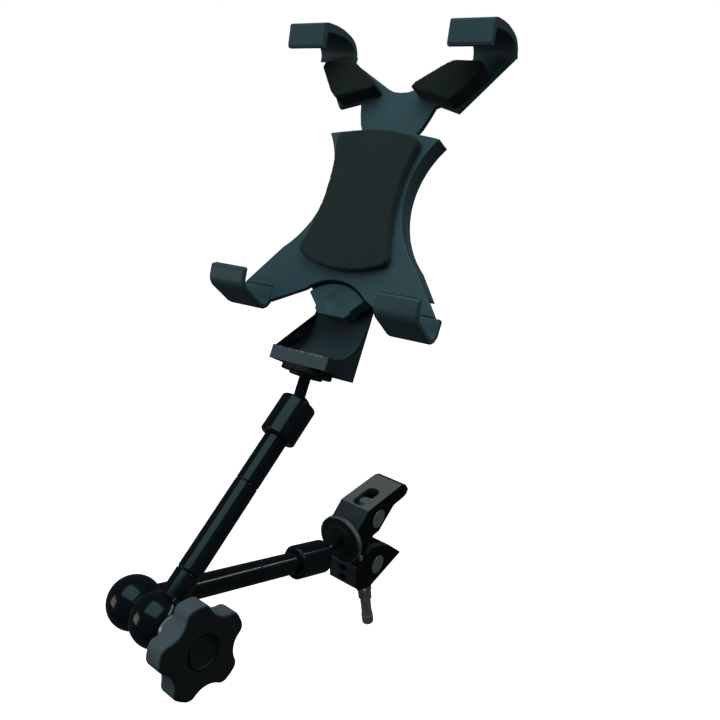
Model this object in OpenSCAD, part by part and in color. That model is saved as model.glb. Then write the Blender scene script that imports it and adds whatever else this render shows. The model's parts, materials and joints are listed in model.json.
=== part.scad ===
// Tablet holder on a two-link friction arm with a screw clamp.
// The frame is the clamp's: X across the jaws, +Y out of the mouth, +Z along the clamp screw.
// The origin is the middle of the jaw mouth.

/* [Clamp] */
// Width of both jaws across X
jaw_w = 21.4; // [20:0.1:30]
// Distance from the mouth centre back to the mounting face
back_depth = 32; // [31:0.5:36]
// Height of the arm's stud axis above the mouth centre
stud_z = 6.5; // [5.5:0.1:7.5]
// Width of the channel between the jaw's side walls
channel_w = 12.8; // [12.4:0.1:14]
// Radius of the hinge knuckle
knuckle_r = 4.6; // [4.2:0.1:5]
// Radius of the hinge pin
hinge_pin_r = 2; // [1.5:0.1:2.5]
// Radius of the two cross barrels
barrel_r = 6; // [5:0.1:6.5]
// Radius of the clamp screw
screw_r = 3.5; // [3:0.1:3.8]
// Distance between the two cross barrels with the jaws as drawn
barrel_gap = 33.9; // [33:0.1:35]
// Thickness of the rubber jaw pads
jaw_pad_t = 1.6; // [1:0.1:2.5]
// Length of the folding lever below its pin
lever_len = 32; // [25:1:45]
// Radius of the folding lever
lever_r = 2.6; // [2:0.1:3.2]

/* [Arm] */
// Hub centre to ball centre of each link
link_len = 114; // [100:1:150]
// Radius of the link tubes
tube_r = 5.98; // [5:0.01:7]
// Inner radius of the link tubes
tube_bore_r = 4.1; // [3.6:0.05:4.5]
// Radius of the end collars
collar_r = 9.37; // [9.2:0.01:11]
// Length of the end collars
collar_len = 21.3; // [20.5:0.1:26]
// Collar mouth beyond the ball centre
collar_lip = 4; // [3.5:0.1:4.5]
// Radius of the ball on each stud
ball_r = 7.5; // [7:0.1:7.5]
// Radius of the studs' necks
neck_r = 3; // [2.5:0.05:3.1]
// Radius of the hub spheres
hub_r = 12.67; // [12:0.01:15]
// Distance between the two hub centres
hub_pitch = 20.37; // [19:0.01:23]
// Radius of the elbow spindle
spindle_r = 3; // [2.5:0.05:3.5]
// Radius of the brake rods in the tubes
rod_r = 2.4; // [2:0.1:3]
// Groove ring distance from the hub centre
groove_pos = 70.65; // [60:0.05:80]

/* [Knob] */
// Radius over the knob's lobes
knob_r = 20.55; // [18:0.05:25]
// Thickness of the knob's lobed head
knob_t = 11; // [8:0.5:16]
// Upper hub centre to the knob's front face
knob_reach = 35.76; // [35:0.02:40]
// Number of lobes
knob_lobes = 5; // [5:1:6]
// Radius of the boss behind the lobes
knob_boss_r = 8; // [7:0.1:9]

/* [Ball studs] */
// Lower ball centre to the clamp's mounting face
lower_stud_len = 23.6; // [22:0.1:28]
// Upper ball centre to the bracket's foot
upper_stud_len = 21.06; // [20:0.02:26]
// Radius of the lower lock disc
lower_disc_r = 14.8; // [12:0.1:16]
// Radius of the upper lock disc
upper_disc_r = 13; // [11:0.1:14]
// Thickness of the lock discs
disc_t = 3.2; // [2.5:0.1:4]
// Radius of the camera thread (1/4-20, over the crests)
thread_r = 3.17; // [3.1:0.01:3.2]

/* [Holder] */
// Overall thickness of the main plate
plate_t = 11.28; // [10.6:0.02:14]
// Half width of the plate at its top corners
plate_top_x = 33.07; // [31:0.01:36]
// Half width of the plate at its waist
waist_x = 23.2; // [22.5:0.1:26]
// Height of the plate's top corners above the foot
plate_top_y = 127.5; // [125:0.1:135]
// Thickness of the plate's walls
shell_t = 2.2; // [1.6:0.1:2.6]
// Width of the slider's tongue
tongue_w = 31.4; // [30:0.1:33]
// Thickness of the slider's plate
slider_t = 3; // [2.4:0.1:3.4]
// Thickness of the centre foam pad
centre_pad_t = 5; // [3:0.1:7]
// Thickness of the slider's foam pads
slider_pad_t = 9.6; // [5:0.1:11]
// Width of the hooks
hook_w = 22.5; // [18:0.1:24]
// Wall of the hooks
hook_t = 3; // [2.4:0.1:3.4]
// Depth of the hooks in front of the plate
hook_reach = 24.2; // [18:0.1:30]

/* [Bracket] */
// Width of the rear bracket
bracket_w = 33.6; // [28:0.1:36]
// Bracket's front edge in front of the plate's face
foot_front = 13.6; // [12:0.1:16]
// Bracket's back edge behind the plate's face
foot_back = 15.6; // [15.2:0.1:18]
// Thickness of the foot
foot_t = 6.6; // [6.2:0.1:8]
// Stud hole's place in front of the plate's face
stud_hole_z = 2.45; // [1:0.05:4]

/* [Rest pose] */
// Lower stud swivel
lower_swivel = -26; // [-40:1:40]
// Lower ball tilt
lower_tilt = -18.5; // [-30:0.5:30]
// Lower link roll
lower_roll = 18.5; // [-40:0.5:40]
// Elbow fold between the links
elbow_fold = 53.5; // [50:0.5:100]
// Upper link roll
upper_roll = 0.5; // [-40:0.5:40]
// Upper ball tilt
upper_tilt = 21.5; // [-30:0.5:30]
// Holder swivel on the upper stud
upper_swivel = 13; // [-40:0.5:40]
// Lean of the folding lever
lever_lean = 9; // [0:1:80]
// Turn of the knob
knob_turn = 12; // [0:1:71]

/* [Hidden] */
$fn = 48;

run = 0.05;             // radial running clearance of a shaft or pin
ball_gap = 0.1;         // clearance round a ball and its seat
loose = 0.4;            // clearance at the linkage's open pivot
seat_gap = 0.2;         // gap between faces that slide on each other

hinge_y = -back_depth + knuckle_r + 0.2;
hinge_z = -6.6;
barrel_y = -10.2;
nut_z = 12.3;
thrust_z = nut_z - barrel_gap;
screw_slot_w = 10.8;
barrel_flat = 4.5;      // barrel centre to the flat where the screw's flange bears
eye_z = thrust_z - 24;  // lever pin on the screw's lower end
lower_ball = [0, -back_depth - lower_stud_len, stud_z];

neck_len = 23;          // hub centre to the end of its neck
spigot_len = 8;
collar_end = link_len + collar_lip;
collar_start = collar_end - collar_len;
chamber_r = 6.2;        // brake chamber in each hub
mate_x = hub_pitch / 2; // hub centre to the plane where the hubs meet
cone_front = 4.8;       // hub centre to the front of its brake cone
head_x = 9.4;           // lower hub centre to the seat of the spindle's head
cap_r = 4.7;            // recess for the head and the cap over it
seat_back = link_len - 9.5;

arch_r = 25.8;
arch_top = 47.7;
waist_y = 98;
slider_front = -4.4;            // face of the slider's plate
shell_depth = slider_t - slider_front + seat_gap;   // the rear cover closes the shell behind the tongue
channel_y = arch_top + 3;       // bottom of the slider's channel
spring_r = 2.3;
spring_top = 116;       // where the springs hook onto the slider
hook_x = 49.9;
upper_hook_x = 47.05;
flange_y = 50;
arm_y = 47;             // the plate is thin below this height
arm_t = 3.2;
tab_depth = 2.6;        // face of the tab in the arch, behind the plate's face

// Placement of each link of the chain, from the clamp outwards
module at_lower_stud() { translate(lower_ball) rotate([0, lower_swivel, 0]) children(); }
module at_lower_arm() {
    at_lower_stud() rotate([lower_tilt, 0, 0]) rotate([0, lower_roll, 0])
        translate([0, -link_len, 0]) children();
}
module at_upper_arm() { at_lower_arm() translate([hub_pitch, 0, 0]) rotate([elbow_fold, 0, 0]) children(); }
module at_knob() { at_lower_arm() translate([hub_pitch, 0, 0]) rotate([knob_turn, 0, 0]) children(); }
module at_upper_stud() {
    at_upper_arm() translate([0, link_len, 0]) rotate([0, upper_roll, 0])
        rotate([upper_tilt, 0, 0]) rotate([0, upper_swivel, 0]) children();
}
module at_holder() { at_upper_stud() translate([0, upper_stud_len, -stud_hole_z]) children(); }

// Bars and outlines seen from the side (Y, Z) or along an axis
module side_bar(w, x = 0) { translate([x - w / 2, 0, 0]) rotate([90, 0, 90]) linear_extrude(w) children(); }
module x_rod(r, x0, x1) { translate([x0, 0, 0]) rotate([0, 90, 0]) cylinder(r = r, h = x1 - x0); }
module y_rod(r, y0, y1) { translate([0, y0, 0]) rotate([-90, 0, 0]) cylinder(r = r, h = y1 - y0); }
module y_cone(r0, r1, y0, y1) { translate([0, y0, 0]) rotate([-90, 0, 0]) cylinder(r1 = r0, r2 = r1, h = y1 - y0); }
module at_hinge() { translate([0, hinge_y, hinge_z]) children(); }
module at_barrel(z) { translate([0, barrel_y, z]) children(); }

// ---- Clamp ----
module fixed_jaw_side() {
    front = back_depth - 11.3;
    polygon([[-back_depth, hinge_z + 0.8], [-back_depth, 13.8], [-20.35, 23.5], [13.3, 24.6], [17.8, 23],
        [front, 18.4], [19, 15.6], [15.8, 14.5], [5.2, 14], [-9.9, 3.3], [-15.7, 3.2],
        [hinge_y + 3.5, hinge_z + 2.9], [hinge_y + 3, hinge_z - 3.2], [hinge_y - 3, hinge_z - 3.2]]);
}
module fixed_jaw() {
    back_wall = 6.4;
    color("#3a3a38") difference() {
        union() {
            side_bar(jaw_w) fixed_jaw_side();
            at_hinge() x_rod(knuckle_r, -jaw_w / 2, jaw_w / 2);
        }
        side_bar(channel_w) polygon([[-back_depth + back_wall, -30], [-back_depth + back_wall, 12.2],
            [-18.4, 19.4], [3, 20.4], [3, -30]]);
        side_bar(channel_w) translate([-back_depth - 1, -30]) square([back_wall + 2, 30 + hinge_z + 4]);
        at_hinge() x_rod(knuckle_r + 0.6, -channel_w / 2, channel_w / 2);
        // Slot for the screw's end
        for (y = [-15.2, -3.6]) translate([0, y, 15]) cylinder(r = screw_r + 0.7, h = 12);
        translate([-screw_r - 0.7, -15.2, 15]) cube([2 * screw_r + 1.4, 11.6, 12]);
        at_barrel(nut_z) x_rod(barrel_r + run, -jaw_w, jaw_w);
        at_hinge() x_rod(hinge_pin_r + run, -jaw_w, jaw_w);
        translate([0, 0, stud_z]) y_rod(thread_r + run, -back_depth - 1, -back_depth + back_wall + 1);
        // Recess for the rubber pad
        side_bar(jaw_w - 3) polygon([[6, 13], [15, 13], [15, 14.46 + jaw_pad_t], [6, 14.04 + jaw_pad_t]]);
    }
}
module fixed_jaw_pad() {
    color("#151616") side_bar(jaw_w - 3)
        polygon([[6, 14.04], [15, 14.46], [15, 14.46 + jaw_pad_t], [6, 14.04 + jaw_pad_t]]);
}
module swing_jaw_side() {
    polygon([[-back_depth, -12], [-back_depth, -26.4], [-28.6, -30], [-18.2, -33.8], [-14.6, -32.9],
        [14.4, -26.7], [1.7, -13.8], [-8, -8.6], [-17, -5.3], [-21, -6.6], [hinge_y, hinge_z]]);
}
module swing_jaw() {
    web = channel_w - 0.4;
    color("#1a1b1b") difference() {
        union() {
            difference() {
                side_bar(jaw_w) swing_jaw_side();
                at_hinge() for (s = [-1, 1])
                    translate([s * (web / 2 + jaw_w / 2), 0, 0])
                        x_rod(knuckle_r + 0.7, -jaw_w / 2, jaw_w / 2);
            }
            at_hinge() x_rod(knuckle_r, -web / 2, web / 2);
            side_bar(web) polygon([[hinge_y, hinge_z - knuckle_r + 0.2],
                [hinge_y + 3.5, hinge_z + 2.7], [-18.3, -1.2], [-18.3, -12]]);
        }
        at_hinge() x_rod(hinge_pin_r + run, -jaw_w, jaw_w);
        at_barrel(thrust_z) x_rod(barrel_r + loose, -jaw_w, jaw_w);
        translate([-screw_slot_w / 2, -18.3, -45]) cube([screw_slot_w, 17, 50]);
        // Threaded holes in the mounting face
        for (z = [-16.2, -23]) translate([0, 0, z]) y_rod(thread_r - 0.6, -back_depth - 1, -22);
        side_bar(jaw_w - 3) polygon(sloped_pad(2));
    }
}
// The pad lies in the sloped gripping face, between the screw slot and the tip
function sloped_pad(above) = [[2.4, -14.51] + above * [0.71, 0.7], [11.4, -23.65] + above * [0.71, 0.7],
    [11.4, -23.65] - jaw_pad_t * [0.71, 0.7], [2.4, -14.51] - jaw_pad_t * [0.71, 0.7]];
module swing_jaw_pad() { color("#151616") side_bar(jaw_w - 3) polygon(sloped_pad(0)); }
module hinge_pin() { color("#8d9092") at_hinge() x_rod(hinge_pin_r, -jaw_w / 2, jaw_w / 2); }
module nut_barrel() {
    color("#b9bcbe") difference() {
        at_barrel(nut_z) x_rod(barrel_r, -jaw_w / 2, jaw_w / 2);
        at_barrel(nut_z - 20) cylinder(r = screw_r + run, h = 40);
    }
}
module thrust_barrel() {
    color("#b9bcbe") difference() {
        at_barrel(thrust_z) x_rod(barrel_r, -jaw_w / 2, jaw_w / 2);
        at_barrel(thrust_z - 20) cylinder(r = screw_r + run, h = 40);
        for (s = [-1, 1]) at_barrel(thrust_z + s * (barrel_flat + 5))
            cube([screw_slot_w, 20, 10], center = true);
    }
}
module clamp_screw() {
    flange_t = 3;
    flange_top = thrust_z - barrel_flat - seat_gap;
    color("#c9cccd") difference() {
        union() {
            translate([0, barrel_y, flange_top - flange_t]) cylinder(r = 5, h = flange_t);
            translate([0, barrel_y, flange_top - flange_t]) cylinder(r = screw_r, h = nut_z + 9 - flange_top + flange_t);
            translate([0, barrel_y, eye_z]) cylinder(r = lever_r + 0.9, h = flange_top - flange_t - eye_z);
            translate([0, barrel_y, eye_z]) x_rod(lever_r + 0.9, -1.5, 1.5);
        }
        translate([0, barrel_y, eye_z]) x_rod(1.2, -6, 6);
        for (s = [-1, 1]) translate([s * 3.5, barrel_y, eye_z - 1.5]) cube([4, 12, 10], center = true);
    }
}
module retaining_clip() {
    color("#8d9092") translate([0, barrel_y, thrust_z + barrel_flat + seat_gap]) difference() {
        cylinder(r = 5, h = 1);
        translate([0, 0, -1]) cylinder(r = screw_r, h = 3);
    }
}
module lever() {
    color("#c9cccd") translate([0, barrel_y, eye_z]) rotate([lever_lean, 0, 0]) difference() {
        union() {
            for (s = [-1, 1]) x_rod(lever_r + 0.9, s > 0 ? 1.7 : -3.4, s > 0 ? 3.4 : -1.7);
            for (s = [-1, 1]) translate([s * 2.55 - 0.85, -lever_r, -9]) cube([1.7, 2 * lever_r, 9]);
            translate([0, 0, -24]) cylinder(r = lever_r + 0.8, h = 15.4);
            translate([0, 0, -30]) cylinder(r = lever_r + 1.2, h = 6.6);
            translate([0, 0, -lever_len]) cylinder(r1 = 1.2, r2 = lever_r + 1.2, h = lever_len - 30);
        }
        x_rod(1.2 + run, -6, 6);
    }
}
module lever_pin() { color("#8d9092") translate([0, barrel_y, eye_z]) x_rod(1.2, -3.4, 3.4); }

// ---- Ball studs ----
module stud(len, thread_len) {
    sphere(ball_r);
    y_rod(neck_r, 0, len - 1);
    y_rod(neck_r + 1, len - disc_t - 1.6, len - disc_t - seat_gap);
    y_rod(thread_r, len - 1, len + thread_len);
}
module lock_disc(r, len) {
    difference() {
        union() {
            y_rod(r, len - disc_t + 0.1, len - 0.1);
            y_rod(r * 0.66, len - disc_t - 1.3, len - disc_t + 0.2);
        }
        y_rod(neck_r + 1 + run, len - disc_t - 3, len - disc_t + 0.3);
        y_rod(thread_r + run, len - disc_t - 3, len + 1);
    }
}
module ball_seat() {
    rotate([-90, 0, 0]) rotate_extrude() difference() {
        translate([0, seat_back]) square([ball_r, 6.5]);
        translate([0, link_len]) circle(ball_r + ball_gap);
    }
}
module lower_stud() { color("#1c1f20") at_lower_stud() stud(lower_stud_len, 5.8); }
module lower_lock_disc() { color("#17191a") at_lower_stud() lock_disc(lower_disc_r, lower_stud_len); }
module lower_seat() { color("#d8d4c8") at_lower_arm() ball_seat(); }
module upper_stud() { color("#1c1f20") at_upper_stud() stud(upper_stud_len, 5.8); }
module upper_lock_disc() { color("#17191a") at_upper_stud() lock_disc(upper_disc_r, upper_stud_len); }
module upper_seat() { color("#d8d4c8") at_upper_arm() ball_seat(); }

// ---- Links ----
module collar() {
    chamber = ball_r + ball_gap;
    difference() {
        union() {
            y_cone(collar_r - 0.8, collar_r, collar_start, collar_start + 0.8);
            y_rod(collar_r, collar_start + 0.8, collar_end - 0.8);
            y_cone(collar_r, collar_r - 0.8, collar_end - 0.8, collar_end);
        }
        y_rod(tube_r, collar_start - 1, seat_back - 1);
        y_rod(chamber, seat_back - 1, link_len);
        translate([0, link_len, 0]) sphere(chamber);
    }
}
module tube() {
    groove_d = 0.4;
    difference() {
        y_rod(tube_r, neck_len, seat_back - 1);
        y_rod(tube_bore_r, neck_len - 1, seat_back);
        for (p = [groove_pos, neck_len + 0.4]) difference() {
            y_rod(tube_r + 1, p - 0.4, p + 0.4);
            y_rod(tube_r - groove_d, p - 1, p + 1);
        }
    }
}
module hub(mate) {
    // A ball cut flat where it meets its mate, with a neck and a spigot for the tube
    difference() {
        union() {
            difference() {
                sphere(hub_r);
                translate([mate > 0 ? mate_x : -mate_x - 10, -20, -20]) cube([10, 40, 40]);
                translate([mate > 0 ? -11.6 - 10 : 11.6, -20, -20]) cube([10, 40, 40]);
            }
            y_rod(tube_r, 8, neck_len);
            y_rod(tube_bore_r, neck_len - 1, neck_len + spigot_len);
        }
        x_rod(chamber_r, mate > 0 ? -7.5 : -mate_x - 1, mate > 0 ? mate_x + 1 : 7.5);
        x_rod(spindle_r + run, -20, 20);
        if (mate > 0) x_rod(cap_r, -14, -head_x);
        y_rod(rod_r + run, 4, neck_len + spigot_len + 1);
    }
}
module brake_cone(mate) {
    difference() {
        rotate([0, mate > 0 ? 90 : -90, 0]) translate([0, 0, -7.2])
            cylinder(r1 = chamber_r - 0.3, r2 = chamber_r - 2, h = cone_front + 7.2);
        x_rod(spindle_r + run, -20, 20);
    }
}
module push_rod() { y_rod(rod_r, chamber_r + 0.6, seat_back - 0.3); }
module lower_collar() { color("#0c1011") at_lower_arm() collar(); }
module lower_tube() { color("#0c1011") at_lower_arm() tube(); }
module lower_push_rod() { color("#9a9da0") at_lower_arm() push_rod(); }
module lower_hub() { color("#0c1011") at_lower_arm() hub(1); }
module lower_brake_cone() { color("#9a9da0") at_lower_arm() brake_cone(1); }
module upper_collar() { color("#0c1011") at_upper_arm() collar(); }
module upper_tube() { color("#0c1011") at_upper_arm() tube(); }
module upper_push_rod() { color("#9a9da0") at_upper_arm() push_rod(); }
module upper_hub() { color("#0c1011") at_upper_arm() hub(-1); }
module upper_brake_cone() { color("#9a9da0") at_upper_arm() brake_cone(-1); }
module spindle() {
    color("#9a9da0") at_lower_arm() {
        x_rod(spindle_r, -head_x - 1, hub_pitch + knob_reach - 5);
        x_rod(cap_r - 0.2, -head_x - 1.8, -head_x);
    }
}
module rear_cap() { color("#0c1011") at_lower_arm() x_rod(cap_r, -11.9, -head_x - 1.8); }
module brake_spring() {
    color("#b9bcbe") at_lower_arm() translate([cone_front + 0.2, 0, 0]) rotate([0, 90, 0])
        coil(spindle_r + 0.4, spindle_r + 1.6, hub_pitch - 2 * cone_front - 0.4, 8);
}

// A close-wound spring as one turned solid, with a ridge for each turn
module coil(inner, outer, len, turns) {
    pitch = len / turns;
    rotate_extrude() polygon(concat([[inner, 0]],
        [for (i = [0 : turns - 1]) each [[outer - 0.4, i * pitch], [outer, (i + 0.5) * pitch]]],
        [[outer - 0.4, len], [inner, len]]));
}

// ---- Knob ----
module knob_outline() {
    offset(r = 4) offset(delta = -4) difference() {
        circle(knob_r);
        for (i = [0 : knob_lobes - 1]) rotate(i * 360 / knob_lobes)
            translate([knob_r + 4.6, 0]) circle(9.4);
    }
}
module knob() {
    color("#080a0b") at_knob() difference() {
        union() {
            translate([knob_reach - knob_t, 0, 0]) rotate([0, 90, 0]) linear_extrude(knob_t) knob_outline();
            x_rod(knob_boss_r, 13.8, knob_reach - knob_t + 1);
        }
        x_rod(spindle_r + 1.6, 13, knob_reach - 4);
        x_rod(7, knob_reach - 1.2, knob_reach + 1);
    }
}
module knob_insert() {
    color("#a08a55") at_knob() difference() {
        x_rod(spindle_r + 1.6, 14, knob_reach - 4);
        x_rod(spindle_r + run, 13, knob_reach);
    }
}
module knob_washer() {
    color("#9a9da0") at_knob() difference() {
        x_rod(knob_boss_r - 1, 11.8, 13.6);
        x_rod(spindle_r + run, 11, 15);
    }
}

// ---- Holder ----
module plate_outline() {
    waist_r = ((plate_top_y - waist_y) ^ 2 + (plate_top_x - waist_x) ^ 2) / (2 * (plate_top_x - waist_x));
    top_r = 183;
    intersection() {
        difference() {
            polygon(concat(half_plate(1), [for (i = [len(half_plate(1)) - 1 : -1 : 0])
                [-half_plate(1)[i][0], half_plate(1)[i][1]]]));
            for (s = [-1, 1]) translate([s * (waist_x + waist_r), waist_y]) circle(waist_r, $fn = 96);
            translate([0, arch_top - arch_r]) circle(arch_r);
        }
        translate([0, plate_top_y + 3 - top_r]) circle(top_r, $fn = 180);
    }
}
function half_plate(s) = [[0, plate_top_y + 6], [plate_top_x, plate_top_y + 6], [plate_top_x, plate_top_y - 1],
    [waist_x + 4.5, 77], [hook_x + hook_w / 2, 34], [hook_x + hook_w / 2, 22], [hook_x - hook_w / 2, 22],
    [hook_x - hook_w / 2, 30], [18, 40.4], [0, 40.4]];
module front_shell() {
    color("#2b3a40") at_holder() difference() {
        translate([0, 0, -shell_depth]) linear_extrude(shell_depth) difference() {
            plate_outline();
            for (s = [-1, 1]) hook_cut(s);
        }
        // Channel for the slider's tongue, open at the top, with a rail down each side
        translate([-tongue_w / 2 - 0.3, channel_y, -shell_depth - 1])
            cube([tongue_w + 0.6, 100, shell_depth + 1 + slider_front + seat_gap]);
        translate([-tongue_w / 2 + 4, channel_y, -shell_depth - 1])
            cube([tongue_w - 8, 100, shell_depth + 1 - shell_t]);
        // Thin arms below the screws
        translate([-100, 0, -shell_depth - 1]) cube([200, arm_y, shell_depth + 1 - arm_t]);
    }
}
module hook_cut(s) { translate([s > 0 ? hook_x - hook_w / 2 : -hook_x - hook_w / 2, 15]) square([hook_w + 0.01, 23]); }
module rear_cover() {
    color("#222b2f") at_holder() difference() {
        union() {
            translate([0, 0, -plate_t]) linear_extrude(plate_t - shell_depth) difference() {
                plate_outline();
                translate([-100, 0]) square([200, arm_y]);
            }
            translate([0, 0, -plate_t]) linear_extrude(plate_t - shell_depth - 0.2) arch_tab();
            translate([0, 0, -plate_t + 1]) linear_extrude(plate_t - 1 - tab_depth) intersection() {
                arch_tab();
                translate([0, arch_top - arch_r]) circle(arch_r - 1.2);
            }
        }
        translate([0, 37, 12.6 - tab_depth]) sphere(14);
        for (p = screw_places()) translate([p[0], p[1], -plate_t - 1]) cylinder(r = 1.6, h = 5);
    }
}
// The cover's tab that fills the arch of the front shell
module arch_tab() {
    polygon([[-8.2, 29.5], [8.2, 29.5], [10.6, 31.8], [10.6, 33.4], [22, 45], [22, 52], [-22, 52], [-22, 45],
        [-10.6, 33.4], [-10.6, 31.8]]);
}
function screw_places() = [[-20, 118], [20, 118], [-38, 52], [38, 52]];
module shell_screws() {
    color("#8d9092") at_holder() for (p = screw_places())
        translate([p[0], p[1], -plate_t]) cylinder(r = 1.6, h = plate_t - shell_depth);
}
module centre_pad() {
    color("#1c1f1e") at_holder() linear_extrude(centre_pad_t) offset(r = 4) offset(delta = -4) difference() {
        intersection() {
            translate([-32, 50]) square([64, 80]);
            translate([0, 128.6 - 90]) circle(90, $fn = 120);
            translate([0, 52.5 + 59.3]) circle(59.3, $fn = 120);
        }
        for (s = [-1, 1]) translate([s * (20.9 + 101.3), 95.5]) circle(101.3, $fn = 150);
    }
}
module lower_hook_side() {
    y0 = 38;
    front = hook_reach;
    polygon([[y0, -arm_t], [y0, 0], [30.9, 0], [29, 0.8], [27.9, 2.4], [27.7, 4.6], [31, front - 6],
        [32.1, front - 3.6], [34.4, front - 2.2], [39.8, front - hook_t + 1.9], [40.3, front - hook_t + 2.6],
        [39.2, front + 1.6], [38.4, front + 2], [32.9, front + 0.9], [30.4, front - 0.4], [28.7, front - 2.8],
        [24.7, 5.4], [24.7, 1.8], [26.4, -1.2], [29.6, -arm_t]]);
}
module lower_hook(s) {
    color("#2b3a40") at_holder() intersection() {
        side_bar(hook_w, s * hook_x) lower_hook_side();
        translate([0, 0, -50]) linear_extrude(100)
            polygon([[s * (hook_x - hook_w / 2 - 1), 10], [s * (hook_x + hook_w / 2 + 1), 10],
                [s * (hook_x + hook_w / 2 + 1), 55], [s * (hook_x - hook_w / 2 - 1), 55]]);
    }
}
module left_lower_hook() { lower_hook(-1); }
module right_lower_hook() { lower_hook(1); }

// ---- Bracket ----
module bracket() {
    scoop_r = 24;
    hollow_r = 16;
    flange_back = foot_back - plate_t - 0.02;
    color("#1d2224") at_holder() difference() {
        union() {
            side_bar(bracket_w) translate([0, -foot_back]) square([41, foot_back + foot_front]);
            translate([0, flange_y, -foot_back]) rotate(22.5) cylinder(r = 19.5, h = flange_back, $fn = 8);
        }
        difference() {
            scoop(bracket_w + 2, scoop_r, foot_t + 0.2, 2.1 - foot_back);
            translate([0, flange_y, -foot_back]) rotate(22.5) cylinder(r = 19.5, h = flange_back, $fn = 8);
        }
        // Hollow between the thin side cheeks
        difference() {
            scoop(bracket_w - 2.8, hollow_r, foot_t, 1.9 - foot_back);
            translate([0, flange_y, -foot_back]) rotate(22.5) cylinder(r = 19.5, h = flange_back, $fn = 8);
        }
        translate([0, 0, stud_hole_z]) y_rod(6, foot_t - 5, foot_t + 10);
        translate([0, 0, stud_hole_z]) y_rod(thread_r + 0.4, -1, foot_t);
        for (x = [-9, 9]) translate([x, flange_y, -foot_back - 1]) cylinder(r = 1.6, h = 20);
    }
}
// A rounded hollow, open upwards and to the front
module scoop(w, r, floor_y, back_z) {
    side_bar(w) translate([floor_y + r, back_z + r]) circle(r, $fn = 96);
    side_bar(w) translate([floor_y + r, back_z + 0.15]) square([60, 60]);
    side_bar(w) translate([floor_y + 0.15, back_z + r]) square([60, 60]);
}
module bracket_screws() {
    color("#8d9092") at_holder() for (x = [-9, 9])
        translate([x, flange_y, -foot_back]) cylinder(r = 1.6, h = foot_back - plate_t - 0.02);
}
module bracket_nut() {
    color("#a08a55") at_holder() difference() {
        translate([0, 0, stud_hole_z]) y_rod(6, foot_t - 5, foot_t);
        translate([0, 0, stud_hole_z]) y_rod(thread_r + run, -1, 10);
    }
}

// ---- Slider ----
module slider_plan(s) {
    polygon([[0, 130.6], [s * tongue_w / 2, 130.6], [s * 18.4, 135], [s * 20.6, 141], [s * 22.4, 147.2],
        [s * 24.6, 148.2], [s * 36, 144.8], [s * 58.3, 176.3], [s * 35.8, 176.3], [s * 35.8, 171.6],
        [s * 32, 170], [s * 7.4, 156], [s * 4, 154.7], [0, 154.4]]);
}
function arc(centre, r, a0, a1, n) = [for (i = [0 : n])
    centre + r * [cos(a0 + (a1 - a0) * i / n), sin(a0 + (a1 - a0) * i / n)]];
function upper_hook_side() = let (plate_z = slider_front - slider_t, top = [172, plate_z + 10], front = hook_reach)
    concat([[170, plate_z]], arc(top, 10, -90, 0, 10),
        [[181.8, 6.4], [180.8, 12.4], [178.8, 18.6], [176, front + 1], [174.4, front + 3.4], [173.2, front + 3.9],
            [163.6, front + 1], [162.6, front], [163.2, front - 2], [164.2, front - 2.4], [170.6, front - 0.4],
            [172, front - 1.2], [174, front - 5], [176.4, 13.8], [177.9, 9.6], [178.8, 5.4]],
        arc(top, 7, 0, -90, 10), [[170, slider_front]]);
module slider() {
    plate_z = slider_front - slider_t;
    color("#33474e") at_holder() {
        difference() {
            translate([0, 0, plate_z]) linear_extrude(slider_t) {
                for (s = [-1, 1]) slider_plan(s);
                translate([-tongue_w / 2, channel_y + 3.3]) square([tongue_w, 131 - channel_y - 3.3]);
            }
            for (x = [-8, 8]) translate([x - spring_r - 0.5, channel_y, -20]) cube([2 * spring_r + 1, spring_top - channel_y, 30]);
        }
        // Hooks, cut back to the arms' outer edges behind the plate's face
        for (s = [-1, 1]) difference() {
            side_bar(hook_w, s * upper_hook_x) polygon(upper_hook_side());
            translate([0, 0, plate_z - 5]) linear_extrude(slider_t + 5)
                polygon([[s * 34, 142], [s * 62, 142], [s * 62, 181.6]]);
        }
    }
}
module slider_pad(s) {
    color("#1c1f1e") at_holder() translate([0, 0, slider_front]) linear_extrude(slider_pad_t)
        polygon([[s * 10.6, 152.6], [s * 12, 155.3], [s * 27.5, 166.4], [s * 31, 167.8], [s * 45.5, 167.2],
            [s * 48, 164.8], [s * 48, 163.4], [s * 38, 149.4], [s * 34, 145.8], [s * 31, 146.5], [s * 14, 151]]);
}
module left_slider_pad() { slider_pad(-1); }
module right_slider_pad() { slider_pad(1); }
module slider_springs() {
    bottom = channel_y + seat_gap;
    color("#b9bcbe") at_holder() for (x = [-8, 8]) translate([x, bottom, -(shell_depth + shell_t) / 2])
        rotate([-90, 0, 0]) coil(spring_r - 1.4, spring_r, spring_top - seat_gap - bottom, 30);
}

fixed_jaw();
fixed_jaw_pad();
swing_jaw();
swing_jaw_pad();
hinge_pin();
nut_barrel();
thrust_barrel();
clamp_screw();
retaining_clip();
lever();
lever_pin();
lower_stud();
lower_lock_disc();
lower_seat();
lower_collar();
lower_tube();
lower_push_rod();
lower_hub();
lower_brake_cone();
spindle();
rear_cap();
brake_spring();
upper_hub();
upper_brake_cone();
upper_tube();
upper_collar();
upper_push_rod();
upper_seat();
upper_stud();
upper_lock_disc();
knob();
knob_insert();
knob_washer();
front_shell();
rear_cover();
shell_screws();
centre_pad();
left_lower_hook();
right_lower_hook();
bracket();
bracket_screws();
bracket_nut();
slider();
left_slider_pad();
right_slider_pad();
slider_springs();
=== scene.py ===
import json
from math import radians
import bpy
from mathutils import Matrix, Vector


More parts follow.
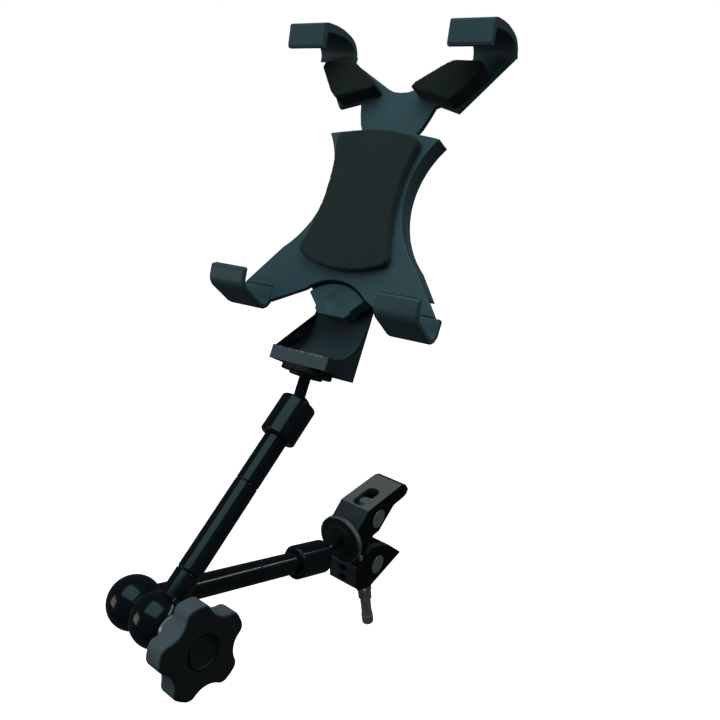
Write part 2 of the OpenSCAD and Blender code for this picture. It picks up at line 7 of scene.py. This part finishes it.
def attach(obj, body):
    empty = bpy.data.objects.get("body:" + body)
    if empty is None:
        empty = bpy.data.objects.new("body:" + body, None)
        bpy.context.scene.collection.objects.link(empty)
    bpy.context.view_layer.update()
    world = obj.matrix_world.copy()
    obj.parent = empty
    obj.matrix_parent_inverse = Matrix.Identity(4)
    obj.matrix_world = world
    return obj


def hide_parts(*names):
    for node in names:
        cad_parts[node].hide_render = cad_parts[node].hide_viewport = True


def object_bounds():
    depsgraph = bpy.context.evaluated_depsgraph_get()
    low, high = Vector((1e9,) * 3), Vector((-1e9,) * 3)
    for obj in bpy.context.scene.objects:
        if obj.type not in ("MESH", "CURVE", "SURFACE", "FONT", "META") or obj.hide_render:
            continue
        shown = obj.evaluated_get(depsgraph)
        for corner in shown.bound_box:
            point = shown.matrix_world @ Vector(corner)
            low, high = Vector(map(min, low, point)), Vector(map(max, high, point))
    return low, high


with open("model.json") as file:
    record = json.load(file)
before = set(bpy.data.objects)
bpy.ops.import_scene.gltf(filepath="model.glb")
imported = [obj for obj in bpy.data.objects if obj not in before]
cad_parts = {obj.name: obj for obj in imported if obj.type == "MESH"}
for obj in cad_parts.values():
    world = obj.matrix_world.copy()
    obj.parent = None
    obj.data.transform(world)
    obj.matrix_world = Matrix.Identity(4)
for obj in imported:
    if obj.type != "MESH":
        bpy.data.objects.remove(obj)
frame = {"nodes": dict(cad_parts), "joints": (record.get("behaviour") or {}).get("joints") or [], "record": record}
cad_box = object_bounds()


# ---- The holder's plate: front shell and rear cover ----
# Two shells of dark teal ABS, moulded with a fine spark texture and screwed together from the
# back. The long edges were broken in the mould, and the two halves meet in a thin dark line.
class Paint:
    """One socket of a material. Sums and products on it add Math nodes; node() adds any other."""

    def __init__(self, tree, socket=None):
        self.tree, self.socket = tree, socket

    def node(self, kind, inputs=(), output=0, stops=(), **settings):
        made = self.tree.nodes.new("ShaderNode" + kind)
        for name, value in settings.items():
            setattr(made, name, value)
        for index, (place, shade) in enumerate(stops):
            stop = made.color_ramp.elements[index] if index < 2 else made.color_ramp.elements.new(place)
            stop.position, stop.color = place, (shade, shade, shade, 1)
        for name, value in dict(inputs).items():
            if isinstance(value, Paint):
                self.tree.links.new(value.socket, made.inputs[name])
            else:
                made.inputs[name].default_value = value
        return Paint(self.tree, made.outputs[output])

    def maths(self, operation, first, second=0.0):
        return self.node("Math", {0: first, 1: second}, operation=operation)

    def __add__(self, other):
        return self.maths("ADD", self, other)

    def __mul__(self, other):
        return self.maths("MULTIPLY", self, other)

    def __sub__(self, other):
        return self.maths("SUBTRACT", self, other)

    def __rsub__(self, other):
        return self.maths("SUBTRACT", other, self)

    __radd__, __rmul__ = __add__, __mul__

    def along(self, point, direction):
        """Distance in metres from a fixed point, measured along a direction."""
        moved = self.node("VectorMath", {0: self.place, 1: point}, operation="SUBTRACT")
        return self.node("VectorMath", {0: moved, 1: direction}, output=1, operation="DOT_PRODUCT")

    def step(self, start, end):
        """0 below the first value, 1 above the second, smooth between."""
        return self.node("MapRange", {0: self, 1: start, 2: end}, interpolation_type="SMOOTHSTEP")

    def mix(self, low, high):
        """The low colour or socket where this mask is 0, the high one where it is 1."""
        return self.node("Mix", {0: self, 6: low, 7: high}, output=2, data_type="RGBA")

    def between(self, low, high):
        return self.mix((*low, 1), (*high, 1))


def new_material(name, **constants):
    """A Principled material: its constants sit on the shader's own sockets. Returns it and its Paint."""
    material = bpy.data.materials.new(name)
    material.use_nodes = True
    shader = material.node_tree.nodes["Principled BSDF"]
    for socket, value in constants.items():
        shader.inputs[socket.replace("_", " ")].default_value = value
    paint = Paint(material.node_tree)
    paint.place = paint.node("TexCoord", output=3)
    return material, paint


def speckle(paint, scale, detail=4.0, stretch=(1, 1, 1)):
    """Noise of about the given number of lumps per metre, stretched along an axis where asked."""
    moved = paint.node("Mapping", {"Vector": paint.place, "Scale": stretch})
    return paint.node("TexNoise", {"Vector": moved, "Scale": scale, "Detail": detail})


def finish(paint, colour=None, roughness=None, height=None, depth=0.0002, strength=0.3, metallic=None):
    """Links what varies over the surface to the shader."""
    shader = paint.tree.nodes["Principled BSDF"]
    if height is not None:
        bump = paint.node("Bump", {"Height": height, "Strength": strength, "Distance": depth})
        paint.tree.links.new(bump.socket, shader.inputs["Normal"])
    for value, name in ((colour, "Base Color"), (roughness, "Roughness"), (metallic, "Metallic")):
        if value is not None:
            paint.tree.links.new(value.socket, shader.inputs[name])


def moulded_plastic(name, low, high, rough=0.42, grain=2600):
    """Moulded plastic: a fine spark texture, slow tone drift and slightly polished patches."""
    material, paint = new_material(name, Specular_IOR_Level=0.45)
    drift = speckle(paint, 22, 3)
    fine = speckle(paint, grain, 2)
    finish(paint, (drift * 0.7 + fine * 0.3).between(low, high),
           rough - 0.06 + drift * 0.12, fine, 0.00006, 0.35)
    return material


def choose(*pieces):
    """Selects only these objects, and makes the first active."""
    bpy.ops.object.select_all(action="DESELECT")
    for piece in pieces:
        piece.select_set(True)
    bpy.context.view_layer.objects.active = pieces[0]


def apply_modifier(piece, kind, **settings):
    choose(piece)
    modifier = piece.modifiers.new(kind.title(), kind)
    for name, value in settings.items():
        setattr(modifier, name, value)
    bpy.ops.object.modifier_apply(modifier=modifier.name)


def edit_all(piece):
    choose(piece)
    bpy.ops.object.mode_set(mode="EDIT")
    bpy.ops.mesh.select_all(action="SELECT")


def eased_copy(node, width, segments=3, limit=28, coat=None, clamp=False):
    """A copy of a CAD node with its coplanar facets joined and its edges eased by the given radius.

    With clamp the easing gets narrower where two edges lie close together.
    """
    source = frame["nodes"][node]
    piece = bpy.data.objects.new(node + "_eased", source.data.copy())
    bpy.context.scene.collection.objects.link(piece)
    edit_all(piece)
    bpy.ops.mesh.remove_doubles(threshold=0.000002)
    bpy.ops.mesh.dissolve_limited(angle_limit=radians(0.5))
    bpy.ops.object.mode_set(mode="OBJECT")
    apply_modifier(piece, "BEVEL", width=width, segments=segments, limit_method="ANGLE",
                   angle_limit=radians(limit), use_clamp_overlap=clamp, harden_normals=False)
    choose(piece)
    bpy.ops.object.shade_smooth_by_angle(angle=radians(40))
    apply_modifier(piece, "WEIGHTED_NORMAL", keep_sharp=True)
    piece.data.materials.clear()
    piece.data.materials.append(coat)
    take_over(piece, node)


def take_over(piece, *nodes):
    """The piece rides on its CAD nodes' body and stands for them."""
    record = frame["record"]
    body = next(b for b, members in record["behaviour"]["bodies"].items() if nodes[0] in members)
    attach(piece, body)
    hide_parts(*nodes)


teal_plastic = moulded_plastic("teal_plastic", (0.060, 0.105, 0.118), (0.084, 0.140, 0.156))
eased_copy("front_shell", 0.0006, coat=teal_plastic)
eased_copy("rear_cover", 0.0005, coat=teal_plastic)


# ---- Lower hooks and slider ----
# The same teal ABS. Each lower hook is moulded with its arm's end, and both upper hooks are one
# moulding with the sprung slider's V and its tongue.
for hook in ("left_lower_hook", "right_lower_hook"):
    eased_copy(hook, 0.0010, 4, coat=teal_plastic)
eased_copy("slider", 0.0006, 3, coat=teal_plastic, clamp=True)


# ---- Rear bracket ----
# A glass-filled nylon block with a deep scoop, screwed to the plate's back. The upper front edge of its
# foot carries pale flecks, and the foot's front face is painted paler, as a lit face.
record = frame["record"]
seat = next(m for m in record["mounts"] if m["name"] == "tablet_seat")
up_plate = Vector(next(j for j in frame["joints"] if j["name"] == "slider_pull")["axis"])
off_plate = Vector(seat["axis"])
foot_drop, foot_back = 0.092, 0.005     # from the tablet's seat, down the plate and behind it
foot = Vector(seat["pos_m"]) - up_plate * foot_drop - off_plate * foot_back
bracket_plastic, paint = new_material("bracket_plastic", Specular_IOR_Level=0.4)
drift, fibres = speckle(paint, 30, 3), speckle(paint, 420, 4)
foot_top, foot_front = 0.0066, 0.0134    # how far its upper and front faces lie from that point
forward = paint.along(foot, off_plate)
near_edge = (paint.along(foot, up_plate).step(foot_top - 0.0012, foot_top)
             * forward.step(foot_front - 0.0014, foot_front))
pale_edge = near_edge * fibres.step(0.50, 0.60)
# painted light: the foot's front face is coloured paler, as a lit face
painted_lit_front = forward.step(foot_front - 0.0006, foot_front)
plain = (drift * 0.6 + fibres * 0.4).between((0.030, 0.044, 0.050), (0.052, 0.072, 0.080))
plain_with_lit_front = painted_lit_front.mix(plain, (0.105, 0.125, 0.130, 1))
finish(paint, pale_edge.mix(plain_with_lit_front, (0.42, 0.39, 0.33, 1)), 0.5 + drift * 0.12, fibres, 0.00008, 0.4)
eased_copy("bracket", 0.0005, 3, coat=bracket_plastic, clamp=True)


# ---- Foam pads ----
# Die-cut closed-cell EVA foam, stuck on. The knife leaves a soft corner round the top, and the skin
# has fine cells.
def foam_coat(name, low, high):
    coat, paint = new_material(name, Specular_IOR_Level=0.15, Sheen_Weight=0.1, Sheen_Roughness=0.6)
    cells, drift = speckle(paint, 1500, 3), speckle(paint, 60, 4)
    finish(paint, (cells * 0.5 + drift * 0.5).between(low, high), 0.78 + cells * 0.2, cells, 0.00025, 0.6)
    return coat


def foam_pad(node, coat):
    """The CAD pad remeshed finely and smoothed, so that its corners round over as cut foam does."""
    piece = bpy.data.objects.new(node + "_foam", frame["nodes"][node].data.copy())
    bpy.context.scene.collection.objects.link(piece)
    edit_all(piece)
    bpy.ops.mesh.remove_doubles(threshold=0.000002)
    bpy.ops.object.mode_set(mode="OBJECT")
    apply_modifier(piece, "REMESH", mode="VOXEL", voxel_size=0.0006)
    apply_modifier(piece, "SMOOTH", factor=0.5, iterations=12)
    choose(piece)
    bpy.ops.object.shade_smooth()
    piece.data.materials.clear()
    piece.data.materials.append(coat)
    take_over(piece, node)


foam_pad("centre_pad", foam_coat("centre_foam", (0.026, 0.034, 0.031), (0.046, 0.058, 0.053)))
slider_foam = foam_coat("slider_foam", (0.014, 0.018, 0.017), (0.025, 0.031, 0.029))
for pad in ("left_slider_pad", "right_slider_pad"):
    foam_pad(pad, slider_foam)


# ---- Arm tubes, hubs and collars ----
# Turned aluminium, anodised gloss black: a hard skin that mirrors its surroundings, with a little
# dust.
gloss_black, paint = new_material("gloss_black", Coat_Roughness=0.04, Coat_Weight=0.3,
                                  Specular_IOR_Level=0.5)
drift, dust = speckle(paint, 40, 3), speckle(paint, 700, 3)
dusty = drift * 0.7 + dust.step(0.62, 0.8) * 0.6
finish(paint, dusty.between((0.003, 0.005, 0.006), (0.012, 0.017, 0.018)),
       0.10 + dust * 0.10, dust, 0.00001, 0.06)
for node in ("lower_collar", "upper_collar", "lower_hub", "upper_hub", "lower_tube", "upper_tube"):
    eased_copy(node, 0.0003, 3, coat=gloss_black)


def recoat(coat, *nodes):
    """CAD pieces that keep their own mesh and take a material."""
    for node in nodes:
        frame["nodes"][node].data.materials.clear()
        frame["nodes"][node].data.materials.append(coat)


recoat(gloss_black, "rear_cap", "lower_stud", "upper_stud")


# ---- Knob ----
# Matt phenolic with five lobes, moulded over a brass insert. Fine grip ribs run along its flutes,
# and the corner round its face is broken wide.
knob_joint = next(j for j in frame["joints"] if j["name"] == "knob_turn")
axle, middle_of_knob = Vector(knob_joint["axis"]), Vector(knob_joint["pos_m"])
side = axle.cross(Vector((0, 0, 1))).normalized()
knob_plastic, paint = new_material("knob_plastic", Specular_IOR_Level=0.35)
drift, fine = speckle(paint, 50, 4), speckle(paint, 1900, 2)
rib_count, rib_end = 90, 0.0342          # grip ribs round the knob, and where they stop along the axle
face_start, disc_radius = 0.0357, 0.0080     # where the front face begins, and the disc sunk in it
depth = paint.along(middle_of_knob, axle)
u, v = paint.along(middle_of_knob, side), paint.along(middle_of_knob, axle.cross(side))
angle = paint.maths("ARCTAN2", u, v)
ribs = paint.maths("SINE", angle * rib_count) * (1.0 - depth.step(rib_end - 0.0004, rib_end))
beyond_disc = paint.maths("SQRT", u * u + v * v).step(disc_radius - 0.0004, disc_radius)
# painted light: the flanks outside the sunk disc are coloured far lighter than the dark face, as lit sides
painted_lit_flank = beyond_disc * (1.0 - depth.step(face_start - 0.0012, face_start))
shade = (drift * 0.7 + fine * 0.3).between((0.008, 0.012, 0.012), (0.016, 0.022, 0.023))
finish(paint, painted_lit_flank.mix(shade, (0.130, 0.146, 0.160, 1)), 0.42 + drift * 0.2,
       ribs * 0.6 + fine * 0.3, 0.00012, 0.5)
eased_copy("knob", 0.0014, 3, coat=knob_plastic)


# ---- Clamp jaws ----
# Both jaws are die-cast aluminium, anodised dark; their flat sides are painted near black as shade. The upper
# jaw's top face is painted lighter and warmer, as brushed metal lit from above.
jaw_metal, paint = new_material("jaw_metal", Metallic=0.35, Specular_IOR_Level=0.4)
brush = speckle(paint, 160, 5, stretch=(1, 14, 14))
top_face, top_normal = (0, 0, 0.02416), (0, -0.0327, 0.99947)
half_width = 0.0105
# painted light: the upper jaw's top face is coloured lighter and warmer, as lit from above
painted_lit_top = paint.along(top_face, top_normal).step(-0.0003, -0.0001)
dark = brush.between((0.040, 0.050, 0.056), (0.085, 0.100, 0.110))
warm = brush.between((0.24, 0.235, 0.22), (0.44, 0.43, 0.41))
sideways = paint.maths("ABSOLUTE", paint.along((0, 0, 0), (1, 0, 0)))
# painted shade: the flat sides are coloured near black, as shaded faces
painted_shade_sides = sideways.step(half_width - 0.0004, half_width - 0.0002)
finish(paint, painted_shade_sides.mix(painted_lit_top.mix(dark, warm), (0.004, 0.006, 0.006, 1)),
       0.40 + brush * 0.16, brush, 0.00004, 0.25)
for jaw in ("fixed_jaw", "swing_jaw"):
    eased_copy(jaw, 0.0006, 3, coat=jaw_metal)

jaw_rubber = moulded_plastic("jaw_rubber", (0.012, 0.013, 0.013), (0.022, 0.023, 0.023), 0.7)
recoat(jaw_rubber, "fixed_jaw_pad", "swing_jaw_pad")


# ---- Screw, barrels and lever ----
# Nickel-plated steel, turned smooth, with slightly duller patches where hands have held it.
steel, paint = new_material("bright_steel", Metallic=0.6)
turned, patch = speckle(paint, 900, 2, stretch=(1, 1, 6)), speckle(paint, 70, 3)
finish(paint, (turned * 0.4 + patch * 0.6).between((0.46, 0.45, 0.42), (0.66, 0.65, 0.61)),
       0.16 + patch * 0.16, turned, 0.00001, 0.15)
for node in ("nut_barrel", "thrust_barrel", "hinge_pin"):
    eased_copy(node, 0.0005, 3, coat=steel)
recoat(steel, "clamp_screw", "lever", "retaining_clip", "lever_pin", "spindle", "lower_push_rod",
       "upper_push_rod", "lower_brake_cone", "upper_brake_cone", "brake_spring", "knob_washer",
       "shell_screws", "bracket_screws", "slider_springs")
brass = moulded_plastic("brass", (0.40, 0.29, 0.12), (0.55, 0.42, 0.19), 0.35, 900)
brass.node_tree.nodes["Principled BSDF"].inputs["Metallic"].default_value = 1.0
recoat(brass, "knob_insert", "bracket_nut")
nylon = moulded_plastic("seat_nylon", (0.62, 0.60, 0.55), (0.74, 0.72, 0.67), 0.5)
recoat(nylon, "lower_seat", "upper_seat")


# ---- Lock discs ----
# Turned aluminium discs, anodised black. Their knurled rims are bare metal coloured pale, partly their own colour
# and partly a painted highlight.
def disc_coat(name, stud, radius, rim):
    """Black anodising with a pale, knurled metal rim round the stud's axis; its pale colour is partly painted
    highlight.
    """
    joint = next(j for j in frame["joints"] if j["name"] == stud)
    centre, axis = Vector(joint["pos_m"]), Vector(joint["axis"])
    across = axis.cross(Vector((1, 0.2, 0))).normalized()
    other = axis.cross(across)
    coat, paint = new_material(name, Specular_IOR_Level=0.4)
    u, v = paint.along(centre, across), paint.along(centre, other)
    reach = paint.maths("SQRT", u * u + v * v)
    pale_edge, scuff = reach.step(radius - 0.0006, radius - 0.0002), speckle(paint, 500, 4)
    teeth = 72
    knurl = paint.maths("SINE", paint.maths("ARCTAN2", u, v) * teeth)
    # painted highlight, in part: the rim's pale colour stands for light caught on the knurled metal
    rim_paleness = pale_edge * (0.35 + scuff * 0.9)
    finish(paint, rim_paleness.between((0.020, 0.023, 0.024), rim), 0.5 - scuff * 0.15,
           knurl * pale_edge, 0.00018, 0.6, metallic=pale_edge * 0.8)
    return coat


lower_disc_coat = disc_coat("lower_disc", "lower_stud_swivel", 0.0148, (0.50, 0.48, 0.45))
upper_disc_coat = disc_coat("upper_disc", "holder_swivel", 0.0130, (0.085, 0.078, 0.068))
eased_copy("lower_lock_disc", 0.0005, 3, coat=lower_disc_coat)
eased_copy("upper_lock_disc", 0.0004, 3, coat=upper_disc_coat)


# ---- Floor, light and camera ----
# A white floor well under the part, a wide cool softbox overhead, a long strip behind on the right,
# a dim card on the left and three fills that only matt faces take up.
floor_drop = 0.12
bpy.ops.mesh.primitive_plane_add(size=14, location=(0, 0, cad_box[0][2] - floor_drop))
floor = bpy.context.active_object
floor.name = "floor"
floor_coat, paint = new_material("floor_paper", Roughness=0.95, Emission_Strength=1.0)
finish(paint, speckle(paint, 3, 2).between((0.86, 0.86, 0.86), (0.9, 0.9, 0.9)))
paint.tree.nodes["Principled BSDF"].inputs["Emission Color"].default_value = (1, 1, 1, 1)
floor.data.materials.append(floor_coat)
floor.visible_glossy = False
floor.visible_diffuse = False

world = bpy.data.worlds.new("studio")
bpy.context.scene.world = world
world.use_nodes = True
air = Paint(world.node_tree)
output = world.node_tree.nodes["World Output"]
seen = air.node("Background", {"Color": (1, 1, 1, 1), "Strength": 1.0})
felt = air.node("Background", {"Color": (0.75, 0.88, 1, 1), "Strength": 0.035})
either = air.node("MixShader", {0: air.node("LightPath"), 1: felt, 2: seen})
world.node_tree.links.new(either.socket, output.inputs["Surface"])


def softbox(name, toward, distance, size, power, tint, mirrored=True):
    """An area lamp that looks at the part's middle from a direction. Fills show in no reflection."""
    lamp = bpy.data.lights.new(name, "AREA")
    lamp.shape, lamp.size, lamp.size_y = "RECTANGLE", *size
    lamp.energy, lamp.color = power, tint
    holder = bpy.data.objects.new(name, lamp)
    bpy.context.scene.collection.objects.link(holder)
    holder.location = middle + Vector(toward).normalized() * distance
    holder.rotation_euler = (-Vector(toward)).to_track_quat("-Z", "Y").to_euler()
    holder.visible_glossy = mirrored


middle = (Vector(cad_box[0]) + Vector(cad_box[1])) / 2
softbox("overhead", (0.02, -0.25, 0.965), 1.3, (1.5, 1.25), 4.6, (0.50, 0.92, 1.0))
softbox("strip", (0.62, 0.50, 0.55), 1.3, (1.4, 0.07), 1.6, (1.0, 1.0, 0.97))
softbox("card", (-0.6, -0.7, 0.1), 1.2, (0.5, 0.5), 1.0, (1.0, 0.9, 0.8))
softbox("cool_fill", (-0.25, -0.75, 0.6), 1.4, (0.9, 0.7), 2.2, (0.72, 0.95, 1.0), mirrored=False)
softbox("top_fill", (0.1, 0.15, 0.98), 1.3, (1.2, 1.0), 4.5, (0.85, 0.96, 1.0), mirrored=False)
softbox("warm_fill", (0.8, 0.1, -0.45), 1.2, (0.6, 0.6), 8.0, (1.0, 0.85, 0.62), mirrored=False)

eye = Vector((0.2274, -0.3106, 0.2736))
ahead = Vector((-0.56432, 0.72773, -0.38981))
above = Vector((-0.24851, 0.30054, 0.92082))
camera_data = bpy.data.cameras.new("camera")
camera_data.lens, camera_data.sensor_width = 36.52, 36
camera_data.clip_start = 0.01
camera = bpy.data.objects.new("camera", camera_data)
bpy.context.scene.collection.objects.link(camera)
turned_to_view = Matrix((ahead.cross(above), above, -ahead)).transposed().to_4x4()
camera.matrix_world = Matrix.Translation(eye) @ turned_to_view
bpy.context.scene.camera = camera
bpy.context.scene.view_settings.view_transform = "Standard"
